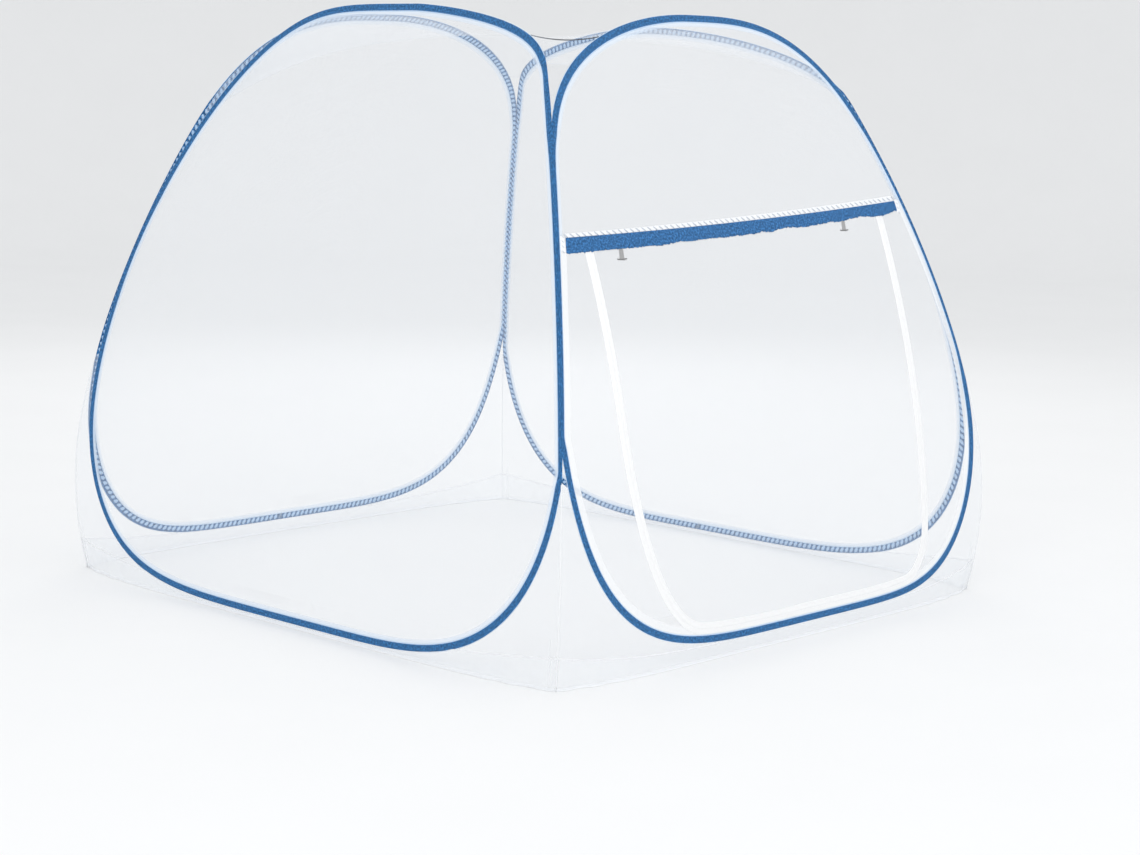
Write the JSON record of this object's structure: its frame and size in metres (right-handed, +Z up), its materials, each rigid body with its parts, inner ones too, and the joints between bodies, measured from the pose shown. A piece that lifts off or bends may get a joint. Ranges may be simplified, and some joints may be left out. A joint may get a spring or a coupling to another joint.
{
  "type": "pop-up mosquito net tent on four hoops",
  "caption": "Self-standing pop-up mosquito net tent: egg-shaped hoops bound in blue cloth, white net walls and roof, and a zipped door under a blue valance.",
  "frame": {"origin": "middle of the base, on the surface the tent stands on", "axes": "+Z up; the door wall faces -Y and the foot wall faces -X; the long side of the base runs along Y"},
  "size_m": [1.8016, 2.0018, 1.625],
  "materials": {
    "binding_blue": "matte twill",
    "valance_blue": "matte brushed",
    "net_white": "sheer",
    "facing_white": "matte",
    "zip_white": "satin",
    "toggle_grey": "matte",
    "cord_grey": "matte"
  },
  "bodies": {
    "root": {"binding_foot": "binding_blue", "binding_door": "binding_blue", "binding_head": "binding_blue", "binding_rear": "binding_blue", "net_foot": "net_white", "net_head": "net_white", "net_rear": "net_white", "net_roof": "net_white", "door_upper_net": "net_white", "door_leaf": "net_white", "door_side_net_left": "net_white", "door_side_net_right": "net_white", "door_facing": "facing_white", "zip_tape": "zip_white", "valance": "valance_blue", "valance_tape": "facing_white", "toggle_left": "toggle_grey", "toggle_right": "toggle_grey", "skirt": "net_white", "corner_net_foot_door": "net_white", "corner_net_head_rear": "net_white", "corner_net_foot_rear": "net_white", "corner_net_head_door": "net_white", "corner_cord": "cord_grey"}
  },
  "joints": []
}
